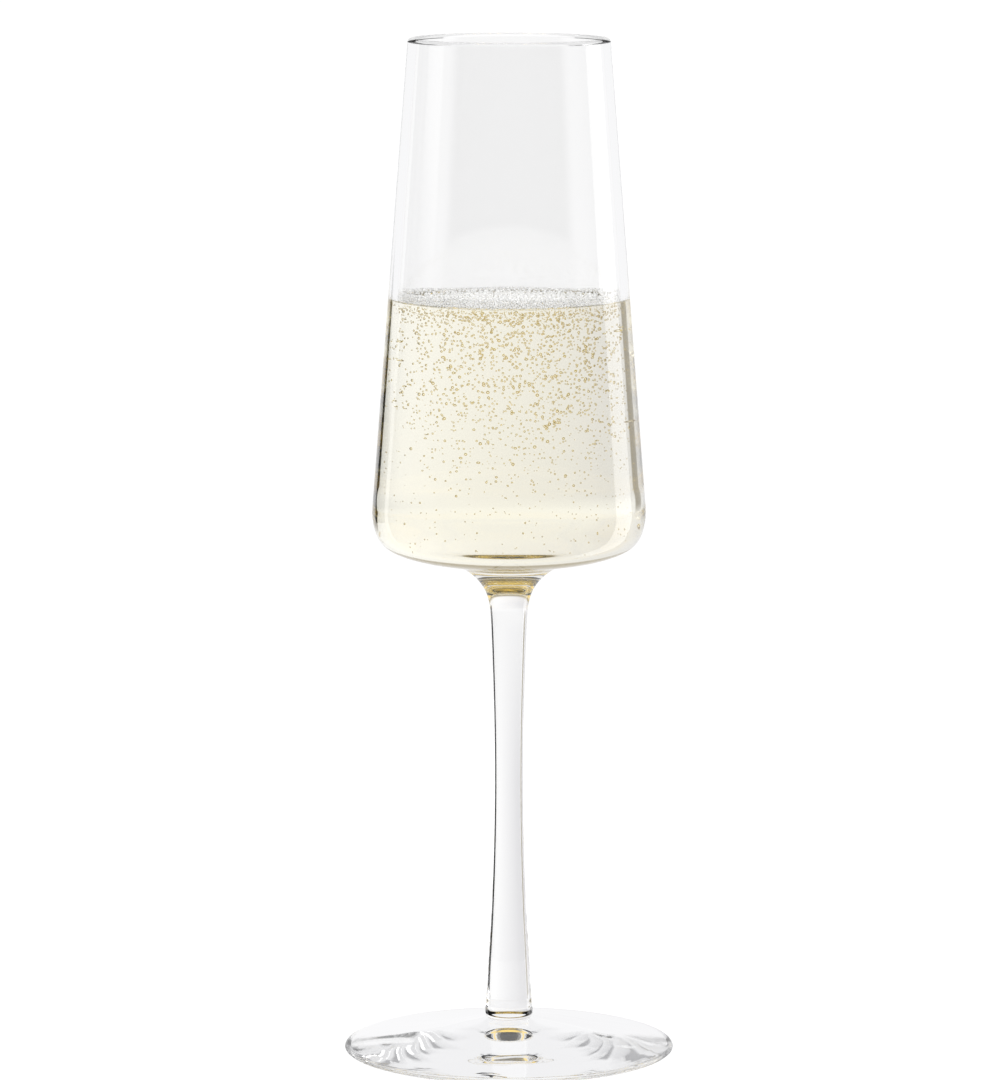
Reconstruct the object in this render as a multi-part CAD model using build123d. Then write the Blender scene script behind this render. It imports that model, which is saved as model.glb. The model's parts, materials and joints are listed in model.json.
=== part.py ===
from build123d import *
import os

# Champagne flute, fused (pulled-bowl) crystal stemware.
# Frame: +Z up, origin at the centre of the foot's resting plane, axis of the glass = Z.
# Everything is a body of revolution about Z, in millimetres.
#
# Pieces, as a glass factory makes and joins them:
#   bowl : the blown cup with the cone-shaped head that the stem is fused to
#   stem : the drawn stem, from its trumpet-shaped top to the bead at its lower end
#   foot : the pressed and spun foot disc with a low dome
# They meet on flat circular faces, where the hot glass is fused.

# ---------------------------------------------------------------- driving dimensions
HEIGHT = 235.0            # overall height

RIM_R = 23.15             # outer radius at the mouth
RIM_WALL = 1.85           # wall thickness just below the lip
LIP_DROP = 0.92           # the fire-polished lip is a half round this tall

BOWL_MAX_R = 31.46        # widest outer radius of the bowl
BOWL_MAX_Z = 127.4        # height of the widest place
WALL_LOW = 2.35           # wall thickness at the widest place
BOWL_FLOOR_Z = 116.60     # height of the bowl's inner floor on the axis

NECK_Z = 109.30           # where the bowl's head is fused to the stem
NECK_R = 6.40             # radius of that fused face

STEM_MIN_R = 3.25         # slimmest place of the stem
STEM_MIN_Z = 66.0

FOOT_R = 38.20            # outer radius of the foot
FOOT_EDGE = 1.50          # thickness of the foot's rounded edge
FOOT_TOP_Z = 7.70         # where the stem's bead is fused to the foot
FOOT_TOP_R = 5.00         # radius of that fused face
REST_OUT_R = 36.60        # the flat ring that the foot rests on
REST_IN_R = 33.60
UNDER_RISE = 1.30         # the underside is hollowed by this much at the centre


def turned(name, section, label):
    solid = revolve(make_face(section), axis=Axis.Z)
    solid = solid.solid() if hasattr(solid, "solid") else solid
    solid.label = label
    export_step(solid, os.path.join("parts", name + ".step"))
    return solid


os.makedirs("parts", exist_ok=True)

# ---------------------------------------------------------------- bowl
# Outside: lip, straight conical wall, round corner, shallow cone underneath, trumpet head.
rim_mid_r = RIM_R - RIM_WALL / 2
outer_corner = [
    (BOWL_MAX_R, BOWL_MAX_Z),
    (31.38, 124.3),
    (31.03, 122.4),
    (30.48, 120.75),
    (29.50, 119.15),
    (28.00, 117.85),
    (26.00, 116.85),
    (23.50, 116.00),
    (20.00, 115.20),
    (16.00, 114.50),
    (12.50, 113.70),
    (10.20, 112.80),
    (8.75, 111.75),
    (7.60, 110.75),
    (NECK_R, NECK_Z),
]
# Inside: straight conical wall, round corner, nearly flat floor.
inner_corner = [
    (BOWL_MAX_R - WALL_LOW, 127.60),
    (29.08, 125.40),
    (28.78, 123.00),
    (28.40, 121.80),
    (27.80, 120.75),
    (26.75, 119.90),
    (25.00, 119.15),
    (22.70, 118.50),
    (19.50, 117.85),
    (15.00, 117.30),
    (9.00, 116.90),
    (0.00, BOWL_FLOOR_Z),
]
lip_top = (rim_mid_r, HEIGHT)
lip_out = (RIM_R, HEIGHT - LIP_DROP)
lip_in = (RIM_R - RIM_WALL, HEIGHT - LIP_DROP)
wall_tan = (BOWL_MAX_R - RIM_R, BOWL_MAX_Z - (HEIGHT - LIP_DROP))
inner_tan = (
    inner_corner[0][0] - lip_in[0],
    inner_corner[0][1] - lip_in[1],
)

with BuildLine(Plane.XZ) as bowl_section:
    ThreePointArc(lip_in, lip_top, lip_out)
    Line(lip_out, outer_corner[0])
    Spline(*outer_corner, tangents=[wall_tan, (-1.0, -1.28)])
    Line(outer_corner[-1], (0.0, NECK_Z))
    Line((0.0, NECK_Z), (0.0, BOWL_FLOOR_Z))
    Spline(*inner_corner[::-1], tangents=[(1.0, 0.0), (-inner_tan[0], -inner_tan[1])])
    Line(inner_corner[0], lip_in)
bowl = turned("bowl", bowl_section.line, "bowl")

# ---------------------------------------------------------------- stem
# Outside from the fused neck down to the fused foot, with a small bead at the bottom.
stem_outer = [
    (NECK_R, NECK_Z),
    (5.58, 108.0),
    (5.02, 106.6),
    (4.58, 105.0),
    (4.26, 102.5),
    (4.00, 97.5),
    (3.66, 88.0),
    (3.36, 76.0),
    (STEM_MIN_R, STEM_MIN_Z),
    (3.30, 57.0),
    (3.48, 48.0),
    (3.78, 39.0),
    (4.20, 30.0),
    (4.72, 21.5),
    (5.12, 14.5),
    (5.30, 10.9),
]
bead = [(5.30, 10.9), (5.46, 9.9), (5.52, 9.0), (5.40, 8.2), (FOOT_TOP_R, FOOT_TOP_Z)]
with BuildLine(Plane.XZ) as stem_section:
    Line((0.0, NECK_Z), stem_outer[0])
    Spline(*stem_outer, tangents=[(-1.0, -1.45), (0.02, -1.0)])
    Spline(*bead, tangents=[(0.02, -1.0), (-1.0, -0.55)])
    Line((FOOT_TOP_R, FOOT_TOP_Z), (0.0, FOOT_TOP_Z))
    Line((0.0, FOOT_TOP_Z), (0.0, NECK_Z))
stem = turned("stem", stem_section.line, "stem")

# ---------------------------------------------------------------- foot
# Upper side: fillet under the bead, then a shallow cone that flattens towards the edge.
foot_upper = [
    (FOOT_TOP_R, FOOT_TOP_Z),
    (6.10, 7.18),
    (8.00, 6.70),
    (12.00, 5.85),
    (18.00, 4.72),
    (25.00, 3.50),
    (32.00, 2.40),
    (FOOT_R - 0.75, FOOT_EDGE + 0.10),
]
foot_under = [
    (REST_IN_R, 0.0),
    (29.0, 0.16),
    (20.0, 0.62),
    (10.0, 1.12),
    (0.0, UNDER_RISE),
]
with BuildLine(Plane.XZ) as foot_section:
    Line((0.0, FOOT_TOP_Z), foot_upper[0])
    Spline(*foot_upper, tangents=[(1.0, -0.62), (1.0, -0.15)])
    Spline(foot_upper[-1], (FOOT_R, 0.82), (REST_OUT_R, 0.0), tangents=[(1.0, -0.15), (-1.0, -0.12)])
    Line((REST_OUT_R, 0.0), (REST_IN_R, 0.0))
    Spline(*foot_under, tangents=[(-1.0, 0.02), (-1.0, 0.0)])
    Line((0.0, UNDER_RISE), (0.0, FOOT_TOP_Z))
foot = turned("foot", foot_section.line, "foot")

for piece in (bowl, stem, foot):
    box = piece.bounding_box()
    print(piece.label, "volume", round(piece.volume), "z", round(box.min.Z, 2), round(box.max.Z, 2), "radius", round(box.max.X, 2))
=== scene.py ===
import json
import math

import bpy
import numpy as np
from mathutils import Matrix, Vector

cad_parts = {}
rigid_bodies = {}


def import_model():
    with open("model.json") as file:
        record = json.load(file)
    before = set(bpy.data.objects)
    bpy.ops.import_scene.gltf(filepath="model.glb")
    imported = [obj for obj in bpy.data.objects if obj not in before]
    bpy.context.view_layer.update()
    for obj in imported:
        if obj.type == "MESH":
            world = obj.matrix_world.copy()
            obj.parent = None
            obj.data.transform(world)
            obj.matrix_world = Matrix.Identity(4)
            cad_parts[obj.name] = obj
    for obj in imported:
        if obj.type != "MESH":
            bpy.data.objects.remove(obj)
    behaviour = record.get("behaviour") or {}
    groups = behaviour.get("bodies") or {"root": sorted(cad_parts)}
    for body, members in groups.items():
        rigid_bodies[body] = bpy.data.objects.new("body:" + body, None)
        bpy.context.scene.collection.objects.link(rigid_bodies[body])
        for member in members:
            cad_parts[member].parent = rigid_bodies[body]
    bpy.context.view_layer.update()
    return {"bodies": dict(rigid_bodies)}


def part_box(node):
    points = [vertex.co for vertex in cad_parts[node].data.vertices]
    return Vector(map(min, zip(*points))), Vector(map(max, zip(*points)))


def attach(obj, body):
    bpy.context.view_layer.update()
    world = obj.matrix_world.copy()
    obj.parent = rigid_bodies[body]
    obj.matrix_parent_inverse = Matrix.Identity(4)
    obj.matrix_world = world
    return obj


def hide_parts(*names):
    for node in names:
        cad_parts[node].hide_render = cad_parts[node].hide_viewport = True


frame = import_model()
root = list(frame["bodies"])[0]

MM = 0.001

# =====================================================================================
# The glass: the same turned profile as the CAD nodes, in millimetres
# =====================================================================================
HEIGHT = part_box("bowl")[1][2] / MM
FOOT_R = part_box("foot")[1][0] / MM
RIM_R, RIM_WALL, LIP = 23.15, 1.85, 0.92
BELLY_R, BELLY_Z, WALL_LOW = 31.46, 127.4, 2.35
FLOOR_Z = 116.60
NECK_Z, NECK_R = 109.30, 6.40
FOOT_TOP_Z, FOOT_TOP_R = 7.70, 5.00
UNDER_RISE = 1.30

OUT_CORNER = [
    (BELLY_R, BELLY_Z), (31.38, 124.3), (31.03, 122.4), (30.48, 120.75), (29.50, 119.15),
    (28.00, 117.85), (26.00, 116.85), (23.50, 116.00), (20.00, 115.20), (16.00, 114.50),
    (12.50, 113.70), (10.20, 112.80), (8.75, 111.75), (7.60, 110.75), (NECK_R, NECK_Z),
]
IN_CORNER = [
    (BELLY_R - WALL_LOW, 127.6), (29.08, 125.4), (28.78, 123.0), (28.40, 121.8), (27.80, 120.75),
    (26.75, 119.9), (25.00, 119.15), (22.70, 118.5), (19.50, 117.85), (15.00, 117.3), (9.00, 116.9),
    (0.00, FLOOR_Z),
]
STEM_OUT = [
    (NECK_R, NECK_Z), (5.58, 108.0), (5.02, 106.6), (4.58, 105.0), (4.26, 102.5), (4.00, 97.5),
    (3.66, 88.0), (3.36, 76.0), (3.25, 66.0), (3.30, 57.0), (3.48, 48.0), (3.78, 39.0),
    (4.20, 30.0), (4.72, 21.5), (5.12, 14.5), (5.30, 10.9),
]
BEAD = [(5.30, 10.9), (5.46, 9.9), (5.52, 9.0), (5.40, 8.2), (FOOT_TOP_R, FOOT_TOP_Z)]
FOOT_UP = [
    (FOOT_TOP_R, FOOT_TOP_Z), (6.10, 7.18), (8.00, 6.70), (12.00, 5.85), (18.00, 4.72),
    (25.00, 3.50), (32.00, 2.40), (37.45, 1.60),
]
FOOT_EDGE = [(37.45, 1.60), (38.20, 0.82), (36.60, 0.0)]
FOOT_UNDER = [(33.60, 0.0), (29.0, 0.16), (20.0, 0.62), (10.0, 1.12), (0.0, UNDER_RISE)]

# champagne
LEVEL = 174.6            # liquid surface
MENISCUS, MENISCUS_LEN = 0.9, 1.7


def cspline(points, t0, t1, step=0.25, power=1.0):
    """Smooth curve through points with end directions t0 and t1: dense points and directions."""
    p = np.array(points, float)
    h = np.linalg.norm(np.diff(p, axis=0), axis=1) ** power
    n = len(p)
    t0 = np.array(t0, float) / np.linalg.norm(t0)
    t1 = np.array(t1, float) / np.linalg.norm(t1)
    a = np.zeros((n, n))
    b = np.zeros((n, 2))
    a[0, 0] = a[-1, -1] = 1
    b[0], b[-1] = t0, t1
    for i in range(1, n - 1):
        a[i, i - 1], a[i, i], a[i, i + 1] = h[i], 2 * (h[i - 1] + h[i]), h[i - 1]
        b[i] = 3 * (h[i] * (p[i] - p[i - 1]) / h[i - 1] + h[i - 1] * (p[i + 1] - p[i]) / h[i])
    m = np.linalg.solve(a, b)
    out, der = [], []
    for i in range(n - 1):
        k = max(2, int(math.ceil(h[i] / step)))
        u = np.linspace(0, 1, k + 1)
        if i < n - 2:
            u = u[:-1]
        u = u[:, None]
        h00, h10 = 2 * u**3 - 3 * u**2 + 1, u**3 - 2 * u**2 + u
        h01, h11 = -2 * u**3 + 3 * u**2, u**3 - u**2
        out.append(h00 * p[i] + h10 * h[i] * m[i] + h01 * p[i + 1] + h11 * h[i] * m[i + 1])
        d00, d10 = 6 * u**2 - 6 * u, 3 * u**2 - 4 * u + 1
        der.append((d00 * p[i] - d00 * p[i + 1]) / h[i] + d10 * m[i] + (3 * u**2 - 2 * u) * m[i + 1])
    return np.concatenate(out), np.concatenate(der)


def straight(a, b, count):
    u = np.linspace(0, 1, count + 1)[:, None]
    a, b = np.array(a, float), np.array(b, float)
    return a + (b - a) * u, np.repeat((b - a)[None, :], count + 1, 0)


def arc(centre, ra, rb, a0, a1, count):
    t = np.radians(np.linspace(a0, a1, count + 1))
    pts = np.stack([centre[0] + ra * np.cos(t), centre[1] + rb * np.sin(t)], 1)
    der = np.stack([-ra * np.sin(t), rb * np.cos(t)], 1) * np.sign(a1 - a0)
    return pts, der


def flip(run):
    return run[0][::-1].copy(), -run[1][::-1]


def lathe(name, runs, mats, segs, warp=None):
    """A closed turned mesh from runs [(points, directions, material)], outside on the right of the
    direction of travel, with each run's own normals kept at its ends."""
    rings, at = [], []
    for pts, der, mat in runs:
        idx = []
        for k, q in enumerate(pts):
            if k == 0 and rings and np.linalg.norm(rings[-1] - q) < 1e-6:
                idx.append(len(rings) - 1)
                continue
            rings.append(np.array(q, float))
            idx.append(len(rings) - 1)
        at.append(idx)
    th = np.arange(segs) * 2 * math.pi / segs
    cs, sn = np.cos(th), np.sin(th)
    verts, start, single = [], [], []
    for q in rings:
        start.append(len(verts))
        if q[0] < 1e-9:
            single.append(True)
            verts.append((0.0, 0.0, q[1] * MM))
        else:
            single.append(False)
            z = np.full(segs, q[1])
            r = np.full(segs, q[0])
            if warp is not None:
                r, z = warp(r, z, th)
            verts.extend(zip(r * cs * MM, r * sn * MM, z * MM))
    faces, norms, fmat = [], [], []
    nxt = (np.arange(segs) + 1) % segs
    for (pts, der, mat), idx in zip(runs, at):
        nr = np.stack([der[:, 1], -der[:, 0]], 1)
        nr /= np.linalg.norm(nr, axis=1)[:, None]
        for k in range(len(idx) - 1):
            i, j = idx[k], idx[k + 1]
            na, nb = nr[k], nr[k + 1]
            for s in range(segs):
                t = nxt[s]
                n_is = (na[0] * cs[s], na[0] * sn[s], na[1])
                n_it = (na[0] * cs[t], na[0] * sn[t], na[1])
                n_js = (nb[0] * cs[s], nb[0] * sn[s], nb[1])
                n_jt = (nb[0] * cs[t], nb[0] * sn[t], nb[1])
                if single[i]:
                    faces.append((start[i], start[j] + t, start[j] + s))
                    norms.append((n_is, n_jt, n_js))
                elif single[j]:
                    faces.append((start[i] + s, start[i] + t, start[j]))
                    norms.append((n_is, n_it, n_js))
                else:
                    faces.append((start[i] + s, start[i] + t, start[j] + t, start[j] + s))
                    norms.append((n_is, n_it, n_jt, n_js))
                fmat.append(mat)
    me = bpy.data.meshes.new(name)
    me.from_pydata(verts, [], faces)
    me.polygons.foreach_set("material_index", fmat)
    me.polygons.foreach_set("use_smooth", [True] * len(faces))
    for m in mats:
        me.materials.append(m)
    if warp is None:
        me.normals_split_custom_set([n for f in norms for n in f])
    me.update()
    ob = bpy.data.objects.new(name, me)
    bpy.context.scene.collection.objects.link(ob)
    return ob


# =====================================================================================
# Materials
# =====================================================================================
def new_mat(name):
    m = bpy.data.materials.new(name)
    m.use_nodes = True
    m.node_tree.nodes.clear()
    return m, m.node_tree


def glass_mat(name, ior, tint=(1.0, 1.0, 1.0), rough=0.0):
    m, nt = new_mat(name)
    out = nt.nodes.new("ShaderNodeOutputMaterial")
    p = nt.nodes.new("ShaderNodeBsdfPrincipled")
    p.inputs["Base Color"].default_value = (*tint, 1)
    p.inputs["Roughness"].default_value = rough
    p.inputs["IOR"].default_value = ior
    p.inputs["Transmission Weight"].default_value = 1.0
    nt.links.new(p.outputs[0], out.inputs["Surface"])
    return m


def clear_mat(name):
    m, nt = new_mat(name)
    out = nt.nodes.new("ShaderNodeOutputMaterial")
    t = nt.nodes.new("ShaderNodeBsdfTransparent")
    nt.links.new(t.outputs[0], out.inputs["Surface"])
    return m


N_GLASS, N_WINE = 1.52, 1.342
mat_glass = glass_mat("crystal_glass", N_GLASS)
mat_wet = glass_mat("crystal_glass_wetted", N_GLASS / N_WINE)
mat_fused = clear_mat("fused_face")

# painted light on the lip: most rays pass straight through it, which lightens a lip that the glass alone renders dark
m, nt = new_mat("crystal_lip")
out = nt.nodes.new("ShaderNodeOutputMaterial")
lip_glass = nt.nodes.new("ShaderNodeBsdfPrincipled")
lip_glass.inputs["Roughness"].default_value = 0.0
lip_glass.inputs["IOR"].default_value = N_GLASS
lip_glass.inputs["Base Color"].default_value = (1, 1, 1, 1)
lip_glass.inputs["Transmission Weight"].default_value = 1.0
lip_clear = nt.nodes.new("ShaderNodeBsdfTransparent")
mix = nt.nodes.new("ShaderNodeMixShader")
mix.inputs[0].default_value = 0.80
nt.links.new(lip_glass.outputs[0], mix.inputs[1])
nt.links.new(lip_clear.outputs[0], mix.inputs[2])
nt.links.new(mix.outputs[0], out.inputs["Surface"])
mat_lip = m

# painted light on the wetted inner floor above the stem: a gold tint in the glass, strongest at the centre, standing
# in for the golden light that comes down through the depth of wine
mat_wet_painted_glow_centre = glass_mat("crystal_glass_wetted_centre_painted_glow", N_GLASS / N_WINE, (1.0, 0.89, 0.50))
mat_wet_painted_glow_ring = glass_mat("crystal_glass_wetted_ring_painted_glow", N_GLASS / N_WINE, (1.0, 0.95, 0.76))

# pressed foot: the same glass with the faint swirl that pressing and spinning leave in it
m, nt = new_mat("crystal_foot")
out = nt.nodes.new("ShaderNodeOutputMaterial")
p = nt.nodes.new("ShaderNodeBsdfPrincipled")
p.inputs["Base Color"].default_value = (1, 1, 1, 1)
p.inputs["Roughness"].default_value = 0.0
p.inputs["IOR"].default_value = N_GLASS
p.inputs["Transmission Weight"].default_value = 1.0
tc = nt.nodes.new("ShaderNodeTexCoord")
swirl = nt.nodes.new("ShaderNodeTexNoise")
swirl.inputs["Scale"].default_value = 48.0
swirl.inputs["Detail"].default_value = 0.0
swirl.inputs["Distortion"].default_value = 1.2
reach = nt.nodes.new("ShaderNodeVectorMath")
reach.operation = "LENGTH"
flat = nt.nodes.new("ShaderNodeMapRange")
flat.interpolation_type = "SMOOTHSTEP"
flat.inputs["From Min"].default_value = 0.013
flat.inputs["From Max"].default_value = 0.024
size = nt.nodes.new("ShaderNodeMath")
size.operation = "MULTIPLY"
dent = nt.nodes.new("ShaderNodeBump")
dent.inputs["Strength"].default_value = 0.30
dent.inputs["Distance"].default_value = 0.0008
nt.links.new(tc.outputs["Object"], swirl.inputs["Vector"])
nt.links.new(tc.outputs["Object"], reach.inputs[0])
nt.links.new(reach.outputs["Value"], flat.inputs["Value"])
nt.links.new(swirl.outputs["Fac"], size.inputs[0])
nt.links.new(flat.outputs[0], size.inputs[1])
nt.links.new(size.outputs[0], dent.inputs["Height"])
nt.links.new(dent.outputs[0], p.inputs["Normal"])
nt.links.new(p.outputs[0], out.inputs["Surface"])
mat_foot = m

m, nt = new_mat("champagne")
out = nt.nodes.new("ShaderNodeOutputMaterial")
top = nt.nodes.new("ShaderNodeBsdfPrincipled")
top.inputs["Roughness"].default_value = 0.0
top.inputs["IOR"].default_value = N_WINE
top.inputs["Transmission Weight"].default_value = 1.0
side = nt.nodes.new("ShaderNodeBsdfTransparent")
attr = nt.nodes.new("ShaderNodeAttribute")
attr.attribute_name = "open_surface"
mix = nt.nodes.new("ShaderNodeMixShader")
nt.links.new(attr.outputs["Fac"], mix.inputs[0])
nt.links.new(side.outputs[0], mix.inputs[1])
nt.links.new(top.outputs[0], mix.inputs[2])
nt.links.new(mix.outputs[0], out.inputs["Surface"])
vol = nt.nodes.new("ShaderNodeVolumeAbsorption")
vol.inputs["Color"].default_value = (0.985, 0.83, 0.02, 1)
vol.inputs["Density"].default_value = 3.2
nt.links.new(vol.outputs[0], out.inputs["Volume"])
mat_wine = m

# painted light and shade in the bubbles' glass colour: near white face-on, gold towards the edges, darker brown on
# the lower side than on the upper side
m, nt = new_mat("bubble")
out = nt.nodes.new("ShaderNodeOutputMaterial")
g = nt.nodes.new("ShaderNodeBsdfGlass")
g.inputs["IOR"].default_value = 1.0 / N_WINE
g.inputs["Roughness"].default_value = 0.0
face = nt.nodes.new("ShaderNodeLayerWeight")
face.inputs["Blend"].default_value = 0.5
ring = nt.nodes.new("ShaderNodeMapRange")
ring.interpolation_type = "SMOOTHSTEP"
ring.inputs["From Min"].default_value = 0.14
ring.inputs["From Max"].default_value = 0.42
geo = nt.nodes.new("ShaderNodeNewGeometry")
up = nt.nodes.new("ShaderNodeSeparateXYZ")
low = nt.nodes.new("ShaderNodeMapRange")
low.interpolation_type = "SMOOTHSTEP"
low.inputs["From Min"].default_value = 0.35
low.inputs["From Max"].default_value = -0.35
rim = nt.nodes.new("ShaderNodeMix")
rim.data_type = "RGBA"
rim.inputs[6].default_value = (1.0, 0.88, 0.42, 1)
rim.inputs[7].default_value = (0.62, 0.45, 0.15, 1)
bubble_painted_shade = nt.nodes.new("ShaderNodeMix")
bubble_painted_shade.data_type = "RGBA"
bubble_painted_shade.inputs[6].default_value = (1.0, 0.995, 0.96, 1)
nt.links.new(face.outputs["Facing"], ring.inputs["Value"])
nt.links.new(geo.outputs["Normal"], up.inputs[0])
nt.links.new(up.outputs["Z"], low.inputs["Value"])
nt.links.new(low.outputs[0], rim.inputs[0])
nt.links.new(ring.outputs[0], bubble_painted_shade.inputs[0])
nt.links.new(rim.outputs[2], bubble_painted_shade.inputs[7])
nt.links.new(bubble_painted_shade.outputs[2], g.inputs["Color"])
nt.links.new(g.outputs[0], out.inputs["Surface"])
mat_bubble = m

# foam base colour with painted shade: near white face-on, grey at the grazing edges for the dark outlines of the
# bubbles
m, nt = new_mat("foam_film")
out = nt.nodes.new("ShaderNodeOutputMaterial")
skin = nt.nodes.new("ShaderNodeBsdfPrincipled")
skin.inputs["Roughness"].default_value = 0.22
skin.inputs["IOR"].default_value = N_WINE
face = nt.nodes.new("ShaderNodeLayerWeight")
face.inputs["Blend"].default_value = 0.5
edge = nt.nodes.new("ShaderNodeValToRGB")
edge.color_ramp.elements[0].position = 0.10
edge.color_ramp.elements[0].color = (0.97, 0.97, 0.97, 1)
edge.color_ramp.elements[1].position = 0.92
edge.color_ramp.elements[1].color = (0.58, 0.58, 0.57, 1)
mid = edge.color_ramp.elements.new(0.50)
mid.color = (0.94, 0.94, 0.937, 1)
nt.links.new(face.outputs["Facing"], edge.inputs["Fac"])
# the flat undersides, seen through the wine: painted shade and painted light in their base colour, near black from
# straight below and golden from the side
under = nt.nodes.new("ShaderNodeValToRGB")
under.color_ramp.elements[0].position = 0.12
under.color_ramp.elements[0].color = (0.025, 0.022, 0.015, 1)
under.color_ramp.elements[1].position = 0.18
under.color_ramp.elements[1].color = (0.88, 0.66, 0.20, 1)
geo = nt.nodes.new("ShaderNodeNewGeometry")
part = nt.nodes.new("ShaderNodeSeparateXYZ")
down = nt.nodes.new("ShaderNodeMath")
down.operation = "LESS_THAN"
down.inputs[1].default_value = -0.9
foam_painted_shade = nt.nodes.new("ShaderNodeMix")
foam_painted_shade.data_type = "RGBA"
nt.links.new(face.outputs["Facing"], under.inputs["Fac"])
nt.links.new(geo.outputs["True Normal"], part.inputs[0])
nt.links.new(part.outputs["Z"], down.inputs[0])
nt.links.new(down.outputs[0], foam_painted_shade.inputs[0])
nt.links.new(edge.outputs["Color"], foam_painted_shade.inputs[6])
nt.links.new(under.outputs["Color"], foam_painted_shade.inputs[7])
nt.links.new(foam_painted_shade.outputs[2], skin.inputs["Base Color"])
nt.links.new(skin.outputs[0], out.inputs["Surface"])
mat_foam = m

# =====================================================================================
# Bowl, stem and foot
# =====================================================================================
SEGS = 320
lip_in, lip_out = (RIM_R - RIM_WALL, HEIGHT - LIP), (RIM_R, HEIGHT - LIP)
wall_dir = (BELLY_R - RIM_R, BELLY_Z - (HEIGHT - LIP))
inner_dir = (IN_CORNER[0][0] - lip_in[0], IN_CORNER[0][1] - lip_in[1])

out_curve = flip(cspline(OUT_CORNER, wall_dir, (-1.0, -1.28), 0.4))
in_curve = cspline(IN_CORNER, inner_dir, (-1.0, 0.0), 0.4)


def inner_r(z):
    """Inner radius of the bowl's straight wall at height z."""
    return lip_in[0] + (z - lip_in[1]) * inner_dir[0] / inner_dir[1]


WET_TOP = LEVEL + MENISCUS
lip_mid = ((lip_in[0] + lip_out[0]) / 2, HEIGHT - LIP)
bowl_runs = [
    (*straight((0, NECK_Z), (NECK_R, NECK_Z), 2), 2),
    (*out_curve, 0),
    (*straight(OUT_CORNER[0], lip_out, 14), 0),
    (*arc(lip_mid, RIM_WALL / 2, LIP, 0, 180, 18), 3),
    (*straight(lip_in, (inner_r(WET_TOP), WET_TOP), 8), 0),
    (*straight((inner_r(WET_TOP), WET_TOP), IN_CORNER[0], 10), 1),
    (*in_curve, 1),
]
bowl = lathe("flute_bowl", bowl_runs, [mat_glass, mat_wet, mat_fused, mat_lip, mat_wet_painted_glow_centre, mat_wet_painted_glow_ring], SEGS)
# wetted floor faces near the axis get the painted gold glow: the strong tint within 9.5 mm, the weaker ring out to
# 13.5 mm
for face in bowl.data.polygons:
    if face.material_index == 1 and face.center.z < 0.1185:
        reach = math.hypot(face.center.x, face.center.y)
        if reach < 0.0135:
            face.material_index = 4 if reach < 0.0095 else 5

stem_curve = flip(cspline(STEM_OUT, (-1.0, -1.45), (0.02, -1.0), 0.8))
bead_curve = flip(cspline(BEAD, (0.02, -1.0), (-1.0, -0.55), 0.2))
stem_runs = [
    (*straight((0, FOOT_TOP_Z), (FOOT_TOP_R, FOOT_TOP_Z), 2), 1),
    (*bead_curve, 0),
    (*stem_curve, 0),
    (*straight((NECK_R, NECK_Z), (0, NECK_Z), 2), 1),
]
stem = lathe("flute_stem", stem_runs, [mat_glass, mat_fused], 192)

foot_up = flip(cspline(FOOT_UP, (1.0, -0.62), (1.0, -0.15), 0.4))
foot_edge = flip(cspline(FOOT_EDGE, (1.0, -0.15), (-1.0, -0.12), 0.12))
foot_under = flip(cspline(FOOT_UNDER, (-1.0, 0.02), (-1.0, 0.0), 0.6))
foot_runs = [
    (*foot_under, 0),
    (*straight((33.60, 0.0), (36.60, 0.0), 3), 0),
    (*foot_edge, 0),
    (*foot_up, 0),
    (*straight((FOOT_TOP_R, FOOT_TOP_Z), (0, FOOT_TOP_Z), 2), 1),
]
foot = lathe("flute_foot", foot_runs, [mat_foot, mat_fused], SEGS)

for piece, node in ((bowl, "bowl"), (stem, "stem"), (foot, "foot")):
    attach(piece, root)
    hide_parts(node)

# =====================================================================================
# Champagne
# =====================================================================================
GAP = 0.015


def inset(run, d):
    pts, der = run
    n = np.stack([der[:, 1], -der[:, 0]], 1)
    n /= np.linalg.norm(n, axis=1)[:, None]
    q = pts + n * d
    q[:, 0] = np.maximum(q[:, 0], 0)
    return q, der


wet_wall = straight((inner_r(WET_TOP), WET_TOP), IN_CORNER[0], 30)
side_run = inset(wet_wall, GAP)
floor_run = inset(in_curve, GAP)
floor_run[0][0] = side_run[0][-1]
floor_run[0][-1, 0] = 0.0
r_top = side_run[0][0][0]
rr = np.concatenate([np.linspace(0, r_top - 7, 24), r_top - 7 * (1 - np.linspace(0, 1, 29)[1:]) ** 1.6])
zz = LEVEL + MENISCUS * np.exp(-(r_top - rr) / MENISCUS_LEN)
zz = zz + (side_run[0][0][1] - zz[-1])
top_pts = np.stack([rr, zz], 1)
top_der = np.gradient(top_pts, axis=0)
top_pts, top_der = top_pts[::-1], -top_der[::-1]
top_der[-1] = (-1, 0)
wine_runs = [
    (*flip(floor_run), 0),
    (*flip(side_run), 0),
    (top_pts, top_der, 0),
]
wine = lathe("champagne", wine_runs, [mat_wine], 256)
is_top = wine.data.attributes.new("open_surface", "FLOAT", "FACE")
n_top = 256 * (len(top_pts) - 1)
vals = np.zeros(len(wine.data.polygons), np.float32)
vals[-n_top:] = 1.0
is_top.data.foreach_set("value", vals)
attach(wine, root)

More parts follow.
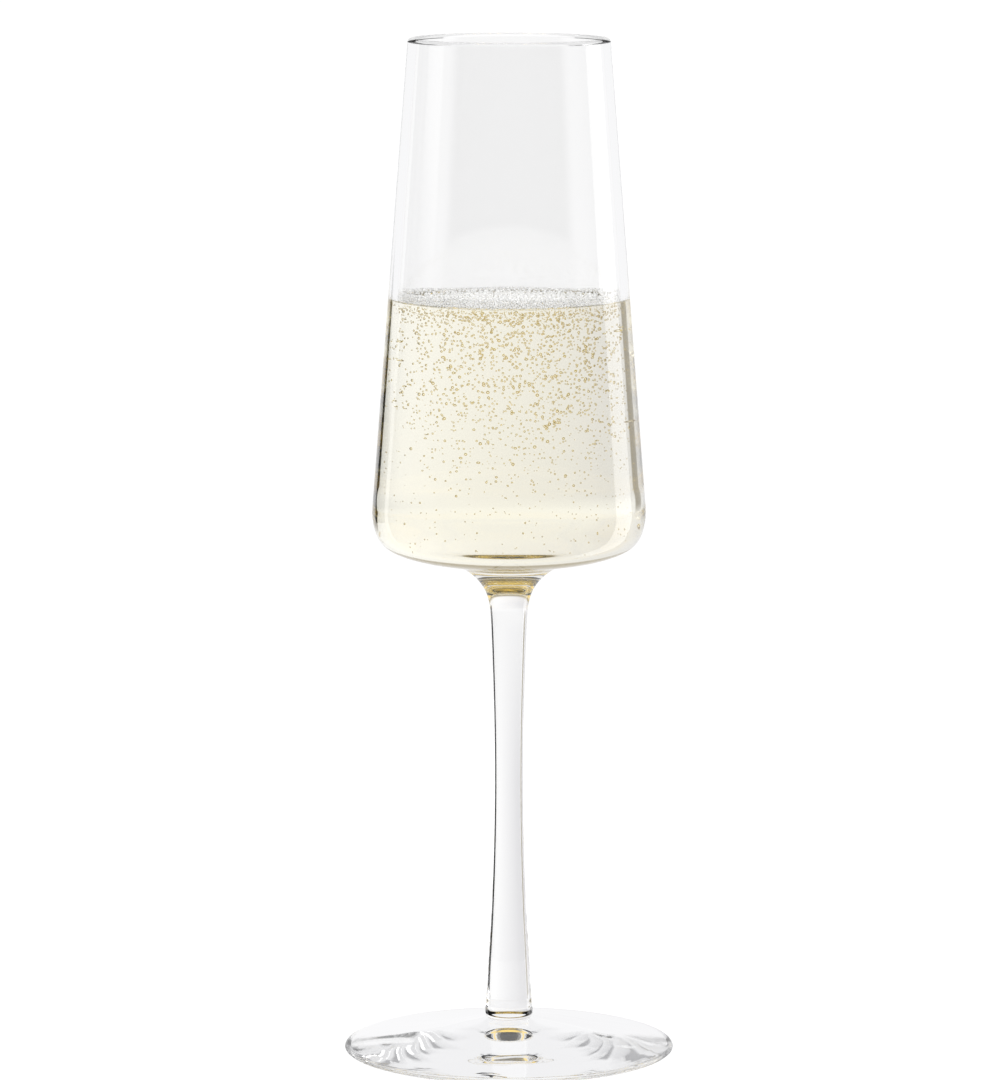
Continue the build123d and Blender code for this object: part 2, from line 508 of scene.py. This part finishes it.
# =====================================================================================
# Bubbles and foam
# =====================================================================================
def ball(level):
    """Unit icosphere: vertices and triangles."""
    g = (1 + 5**0.5) / 2
    v = [(-1, g, 0), (1, g, 0), (-1, -g, 0), (1, -g, 0), (0, -1, g), (0, 1, g),
         (0, -1, -g), (0, 1, -g), (g, 0, -1), (g, 0, 1), (-g, 0, -1), (-g, 0, 1)]
    f = [(0, 11, 5), (0, 5, 1), (0, 1, 7), (0, 7, 10), (0, 10, 11), (1, 5, 9), (5, 11, 4), (11, 10, 2),
         (10, 7, 6), (7, 1, 8), (3, 9, 4), (3, 4, 2), (3, 2, 6), (3, 6, 8), (3, 8, 9), (4, 9, 5),
         (2, 4, 11), (6, 2, 10), (8, 6, 7), (9, 8, 1)]
    v = [np.array(q, float) / np.linalg.norm(q) for q in v]
    for _ in range(level):
        mid, out_f = {}, []
        for a, b, c in f:
            k = []
            for q, w in ((a, b), (b, c), (c, a)):
                key = (min(q, w), max(q, w))
                if key not in mid:
                    n = v[q] + v[w]
                    v.append(n / np.linalg.norm(n))
                    mid[key] = len(v) - 1
                k.append(mid[key])
            out_f += [(a, k[0], k[2]), (b, k[1], k[0]), (c, k[2], k[1]), (k[0], k[1], k[2])]
        f = out_f
    return np.array(v), np.array(f)


def dome(rings, segs):
    """Unit closed dome with a flat base: vertices and faces."""
    v, f = [(0, 0, 1.0)], []
    for k in range(1, rings + 1):
        a = math.pi / 2 * k / rings
        for q in range(segs):
            t = 2 * math.pi * (q + 0.5 * (k % 2)) / segs
            v.append((math.sin(a) * math.cos(t), math.sin(a) * math.sin(t), math.cos(a)))
    for q in range(segs):
        f.append((0, 1 + q, 1 + (q + 1) % segs))
    for k in range(1, rings):
        a, b = 1 + (k - 1) * segs, 1 + k * segs
        for q in range(segs):
            w = (q + 1) % segs
            if k % 2:
                f += [(a + q, b + q, b + w), (a + q, b + w, a + w)]
            else:
                f += [(a + q, b + q, a + w), (a + w, b + q, b + w)]
    base = 1 + (rings - 1) * segs
    v.append((0, 0, 0.0))
    c = len(v) - 1
    for q in range(segs):
        f.append((c, base + (q + 1) % segs, base + q))
    return np.array(v), np.array(f)


def scatter(name, shape, centres, radii, mat, squash=None):
    """One mesh of many copies of a small shape."""
    v, f = shape
    n = len(centres)
    sc = np.ones((n, 3)) * radii[:, None]
    if squash is not None:
        sc[:, 2] *= squash
    pts = (v[None] * sc[:, None] + centres[:, None]).reshape(-1, 3) * MM
    fac = (f[None] + (np.arange(n) * len(v))[:, None, None]).reshape(-1, 3)
    me = bpy.data.meshes.new(name)
    me.from_pydata(pts.tolist(), [], fac.tolist())
    me.polygons.foreach_set("use_smooth", [True] * len(fac))
    me.materials.append(mat)
    me.update()
    ob = bpy.data.objects.new(name, me)
    bpy.context.scene.collection.objects.link(ob)
    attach(ob, root)
    return ob


class Room:
    """Keeps little spheres apart."""

    def __init__(self, cell):
        self.cell, self.grid = cell, {}

    def add(self, q, r, gap):
        k = tuple(int(math.floor(c / self.cell)) for c in q)
        for i in (-1, 0, 1):
            for j in (-1, 0, 1):
                for l in (-1, 0, 1):
                    for p, s in self.grid.get((k[0] + i, k[1] + j, k[2] + l), ()):
                        d = (p[0] - q[0]) ** 2 + (p[1] - q[1]) ** 2 + (p[2] - q[2]) ** 2
                        if d < ((r + s) * gap) ** 2:
                            return False
        self.grid.setdefault(k, []).append((q, r))
        return True


rng = np.random.default_rng(7)


def surface_z(r):
    return LEVEL + MENISCUS * math.exp(-(r_top - r) / MENISCUS_LEN) + float(side_run[0][0][1] - (LEVEL + MENISCUS))


def corner_r(z):
    """Inner radius of the bowl at height z, corner included."""
    if z > IN_CORNER[0][1]:
        return inner_r(z)
    return float(np.interp(z, [q[1] for q in IN_CORNER[::-1]], [q[0] for q in IN_CORNER[::-1]]))


keep = Room(1.2)


def bubbles(count, z_of, r_of, lean, near):
    """Bubbles in the wine; the share called near sits close to the wall on the -Y side."""
    cs, rs = [], []
    tries = 0
    while len(cs) < count and tries < count * 30:
        tries += 1
        r = r_of()
        z = z_of()
        top = corner_r(z) - r - 0.25
        if rng.uniform(0, 1) < near:
            a = -math.acos(rng.uniform(-0.985, 0.985))
            d = top * rng.uniform(0.82, 1.0)
        else:
            a = rng.uniform(0, 2 * math.pi)
            d = top * rng.uniform(0, 1) ** 0.42
            r *= 0.8
        q = (d * math.cos(a), d * math.sin(a), z)
        if rng.uniform(0, 1) > 1 - lean + lean * (0.5 + 0.5 * q[0] / top):
            continue
        if z + r > surface_z(d) - 0.05 or not keep.add(q, r, 1.05):
            continue
        cs.append(q)
        rs.append(r)
    return np.array(cs), np.array(rs)


fizz = bubbles(
    1900,
    lambda: 174.0 - 45.0 * rng.beta(1.1, 2.6),
    lambda: float(np.clip(rng.lognormal(math.log(0.212), 0.25), 0.13, 0.38)),
    0.55, 0.74,
)
pearls = bubbles(
    480,
    lambda: 119.4 + 36.0 * rng.uniform(0, 1),
    lambda: float(np.clip(rng.lognormal(math.log(0.13), 0.25), 0.08, 0.24)),
    0.6, 0.6,
)
mist = bubbles(
    800,
    lambda: 174.5 - 3.4 * rng.beta(1.0, 2.4),
    lambda: float(np.clip(rng.lognormal(math.log(0.135), 0.25), 0.08, 0.24)),
    0.0, 0.6,
)
scatter("bubbles_rising", ball(1), *fizz, mat_bubble)
scatter("bubbles_fine", ball(1), *pearls, mat_bubble)
scatter("bubbles_under_foam", ball(1), *mist, mat_bubble)

# foam: packed little domes on the surface, larger ones here and there
keep = Room(1.5)
cs, rs = [], []
for lo, hi, tries in ((0.42, 0.68, 900), (0.30, 0.42, 6000), (0.20, 0.30, 9000)):
    for _ in range(tries):
        r = rng.uniform(lo, hi)
        d = (r_top - r - 0.03) * rng.uniform(0, 1) ** 0.5
        a = rng.uniform(0, 2 * math.pi)
        if keep.add((d * math.cos(a), d * math.sin(a), 0.0), r, 0.93):
            cs.append((d * math.cos(a), d * math.sin(a), surface_z(d + r * 0.5) + 0.02))
            rs.append(r)
foam_c, foam_r = np.array(cs), np.array(rs)
scatter("foam", dome(3, 8), foam_c, foam_r, mat_foam, rng.uniform(0.75, 1.05, len(rs)))

# foam that clings to the wall above the surface, higher at the sides and the front
keep = Room(1.4)
cs, rs = [], []
for lo, hi, tries in ((0.34, 0.50, 1500), (0.22, 0.34, 9000), (0.13, 0.22, 12000)):
    for _ in range(tries):
        r = rng.uniform(lo, hi)
        a = rng.uniform(0, 2 * math.pi)
        climb = 0.55 + 2.5 * (1 - max(0.0, math.sin(a))) ** 0.8 + 0.12 * math.sin(3 * a + 1) + 0.08 * math.sin(11 * a)
        z = LEVEL - 0.2 + rng.uniform(0, 1) * (climb + 0.2 - r)
        d = inner_r(z) - r * rng.uniform(1.02, 1.5) - 0.02
        q = (d * math.cos(a), d * math.sin(a), z)
        if z - r > surface_z(d) - 0.15 and keep.add(q, r, 0.95):
            cs.append(q)
            rs.append(r)
collar = scatter("foam_collar", ball(1), np.array(cs), np.array(rs), mat_foam)
print("foam", len(foam_r), "collar", len(rs), "bubbles", len(fizz[1]), len(pearls[1]), len(mist[1]))

# =====================================================================================
# Floor
# =====================================================================================
m, nt = new_mat("floor")
out = nt.nodes.new("ShaderNodeOutputMaterial")
d = nt.nodes.new("ShaderNodeBsdfDiffuse")
d.inputs["Color"].default_value = (0.12, 0.12, 0.12, 1)
e = nt.nodes.new("ShaderNodeEmission")
e.inputs["Color"].default_value = (0.98, 0.98, 0.98, 1)
add = nt.nodes.new("ShaderNodeAddShader")
nt.links.new(d.outputs[0], add.inputs[0])
nt.links.new(e.outputs[0], add.inputs[1])
nt.links.new(add.outputs[0], out.inputs["Surface"])
bpy.ops.mesh.primitive_circle_add(vertices=128, radius=0.5, fill_type="NGON", location=(0, 0, -0.00005))
floor = bpy.context.object
floor.name = "floor"
floor.data.materials.append(m)
# the glass refracts and mirrors the soft surround below the horizon instead of this disc
floor.visible_transmission = False
floor.visible_glossy = False

# =====================================================================================
# Studio light: a world of soft panels
# =====================================================================================
world = bpy.data.worlds.new("studio")
bpy.context.scene.world = world
world.use_nodes = True
nt = world.node_tree
nt.nodes.clear()
N = nt.nodes.new
L = nt.links.new
w_out = N("ShaderNodeOutputWorld")
bg = N("ShaderNodeBackground")
tc = N("ShaderNodeTexCoord")
sep = N("ShaderNodeSeparateXYZ")
L(tc.outputs["Generated"], sep.inputs[0])


def math_node(op, a, b=None, c=None):
    n = N("ShaderNodeMath")
    n.operation = op
    for k, v in enumerate((a, b, c)):
        if v is None:
            continue
        if isinstance(v, (int, float)):
            n.inputs[k].default_value = v
        else:
            L(v, n.inputs[k])
    return n.outputs[0]


AZ = math_node("MULTIPLY", math_node("ARCTAN2", sep.outputs["X"], sep.outputs["Y"]), 180 / math.pi)
EL = math_node("MULTIPLY", math_node("ARCSINE", sep.outputs["Z"]), 180 / math.pi)


def step(v, at, soft):
    n = N("ShaderNodeMapRange")
    n.interpolation_type = "SMOOTHSTEP"
    L(v, n.inputs["Value"])
    n.inputs["From Min"].default_value = at - soft
    n.inputs["From Max"].default_value = at + soft
    return n.outputs[0]


def window(v, lo, hi, soft_lo, soft_hi=None):
    soft_hi = soft_lo if soft_hi is None else soft_hi
    up = step(v, lo, soft_lo)
    down = math_node("SUBTRACT", 1.0, step(v, hi, soft_hi))
    return math_node("MULTIPLY", up, down)


col = None


def start(rgb):
    global col
    n = N("ShaderNodeRGB")
    n.outputs[0].default_value = (*rgb, 1)
    col = n.outputs[0]


def over(factor, rgb):
    global col
    n = N("ShaderNodeMix")
    n.data_type = "RGBA"
    n.clamp_factor = True
    if isinstance(factor, float):
        n.inputs[0].default_value = factor
    else:
        L(factor, n.inputs[0])
    L(col, n.inputs[6])
    if isinstance(rgb, tuple):
        n.inputs[7].default_value = (*rgb, 1)
    else:
        L(rgb, n.inputs[7])
    col = n.outputs[2]


def panel(az, el, rgb, az_soft=2.0, el_soft=2.0):
    a = window(AZ, az[0], az[1], *(az_soft if isinstance(az_soft, tuple) else (az_soft,)))
    e = window(EL, el[0], el[1], *(el_soft if isinstance(el_soft, tuple) else (el_soft,)))
    over(math_node("MULTIPLY", a, e), rgb)


def ramp(v, lo, hi, c_lo, c_hi):
    """Colour that runs evenly from c_lo at v=lo to c_hi at v=hi."""
    f = N("ShaderNodeMapRange")
    L(v, f.inputs["Value"])
    f.inputs["From Min"].default_value = lo
    f.inputs["From Max"].default_value = hi
    n = N("ShaderNodeMix")
    n.data_type = "RGBA"
    L(f.outputs[0], n.inputs[0])
    n.inputs[6].default_value = (*c_lo, 1)
    n.inputs[7].default_value = (*c_hi, 1)
    return n.outputs[2]


# What the glass is looked through against: a pale sweep, brighter to the right
start((0.97, 0.97, 0.97))
backdrop = ramp(AZ, -24, 33, (0.85, 0.845, 0.86), (1.09, 1.09, 1.09))
panel((-75, 75), (-90, 60), backdrop, 8, (2, 10))
over(math_node("MULTIPLY", window(AZ, -60, 50, 6), window(EL, -7.0, 0.5, 4, 6)), (1.02, 1.02, 1.02))
over(window(EL, -80, -48, 4, 6), (0.42, 0.42, 0.43))
over(step(EL, 19, 4), (0.32, 0.25, 0.10))
# warm grey side flag on the left, seen in the right-hand edge of the liquid and stem
panel((-54.5, -45.2), (-18.5, -1.0), (0.33, 0.29, 0.21), (1.0, 1.0), 4)
# black flag on the right, seen in the left-hand edges
panel((55.3, 104), (-24, 8), (0.005, 0.005, 0.005), (0.8, 3), (2, 2))
sweep = col

# What its outer skin mirrors: a dim room with soft boxes
start((0.10, 0.10, 0.105))
over(step(EL, 12, 5), (0.55, 0.55, 0.56))
over(math_node("SUBTRACT", 1.0, step(EL, -26, 10)), (0.8, 0.8, 0.8))
panel((-50, 54), (-90, 25), (0.94, 0.94, 0.95), 2, (2, 6))
panel((-62, -26.0), (-10.5, -3.1), (0.01, 0.01, 0.01), (1.0, 1.2), 0.3)
panel((54, 78), (-60, 50), (2.3, 2.3, 2.3), (0.8, 1.0), (10, 6))
panel((-101, -78), (1.6, 50), (0.95, 0.95, 0.95), (2.0, 2.5), (1.3, 6))
panel((-57, -50.5), (-60, 50), (1.0, 1.0, 1.0), (0.6, 0.8), (10, 6))
over(step(EL, 34, 8), (0.7, 0.7, 0.7))
room = col

# What is seen by light that bounces inside the glass
start((0.80, 0.80, 0.81))
panel((-54, 54), (-90, 40), (0.94, 0.94, 0.95), 3, (2, 6))
over(math_node("MULTIPLY", math_node("SUBTRACT", 1.0, window(AZ, -110, 110, 8)), window(EL, -30, 14, 4, 4)), (0.04, 0.04, 0.04))
panel((50, 110), (-60, -17), (0.30, 0.30, 0.31), (4, 8), (6, 3))
panel((-110, -50), (-60, -17), (0.30, 0.30, 0.31), (8, 4), (6, 3))
panel((54, 78), (-7, 9), (2.2, 2.2, 2.2), (0.8, 1.0), (1.0, 2))
panel((-101, -78), (1.2, 9), (0.95, 0.95, 0.95), (2.0, 2.5), (1.3, 2))
panel((-57, -50.5), (-7, 9), (1.0, 1.0, 1.0), (0.6, 0.8), (1.0, 2))
over(math_node("MULTIPLY", math_node("SUBTRACT", 1.0, window(AZ, -90, 90, 8)), window(EL, 25, 48, 4, 3)), (1.05, 0.78, 0.22))
over(step(EL, 48, 3), (0.14, 0.13, 0.11))
over(step(EL, 61, 3), (1.05, 0.74, 0.16))
over(math_node("MULTIPLY", math_node("SUBTRACT", 1.0, window(AZ, -90, 90, 8)), window(EL, 55, 80, 2, 2)), (0.02, 0.02, 0.02))
inside = col

lp = N("ShaderNodeLightPath")
col = sweep
over(math_node("GREATER_THAN", lp.outputs["Glossy Depth"], 0.5), inside)
mirrored = math_node("MULTIPLY", math_node("GREATER_THAN", lp.outputs["Glossy Depth"], 0.5),
                     math_node("LESS_THAN", lp.outputs["Transmission Depth"], 0.5))
over(mirrored, room)
# what the white foam is lit by: a soft tent, brighter from above
tent = ramp(EL, -40, 40, (1.25, 1.24, 1.20), (1.80, 1.80, 1.80))
over(math_node("GREATER_THAN", lp.outputs["Diffuse Depth"], 0.5), tent)

L(col, bg.inputs["Color"])
bg.inputs["Strength"].default_value = 1.0
bg_cam = N("ShaderNodeBackground")
bg_cam.inputs["Color"].default_value = (1.04, 1.04, 1.04, 1)
mixw = N("ShaderNodeMixShader")
L(lp.outputs["Is Camera Ray"], mixw.inputs[0])
L(bg.outputs[0], mixw.inputs[1])
L(bg_cam.outputs[0], mixw.inputs[2])
L(mixw.outputs[0], w_out.inputs["Surface"])

# =====================================================================================
# Camera and render look
# =====================================================================================
cam_data = bpy.data.cameras.new("camera")
cam_data.sensor_width = 36.0
cam_data.lens = 198.2
cam_data.clip_start, cam_data.clip_end = 0.05, 50
cam = bpy.data.objects.new("camera", cam_data)
bpy.context.scene.collection.objects.link(cam)
cam.location = (-0.00173, -1.3567, 0.3061)
cam.rotation_euler = (math.radians(90 - 7.83), 0, 0)
bpy.context.scene.camera = cam

sc = bpy.context.scene
sc.view_settings.view_transform = "Standard"
sc.view_settings.look = "None"
sc.view_settings.exposure = 0.0
sc.view_settings.gamma = 1.0
sc.cycles.max_bounces = 40
sc.cycles.transmission_bounces = 40
sc.cycles.glossy_bounces = 24
sc.cycles.diffuse_bounces = 4
sc.cycles.transparent_max_bounces = 64
sc.cycles.use_denoising = True
sc.cycles.blur_glossy = 0.5
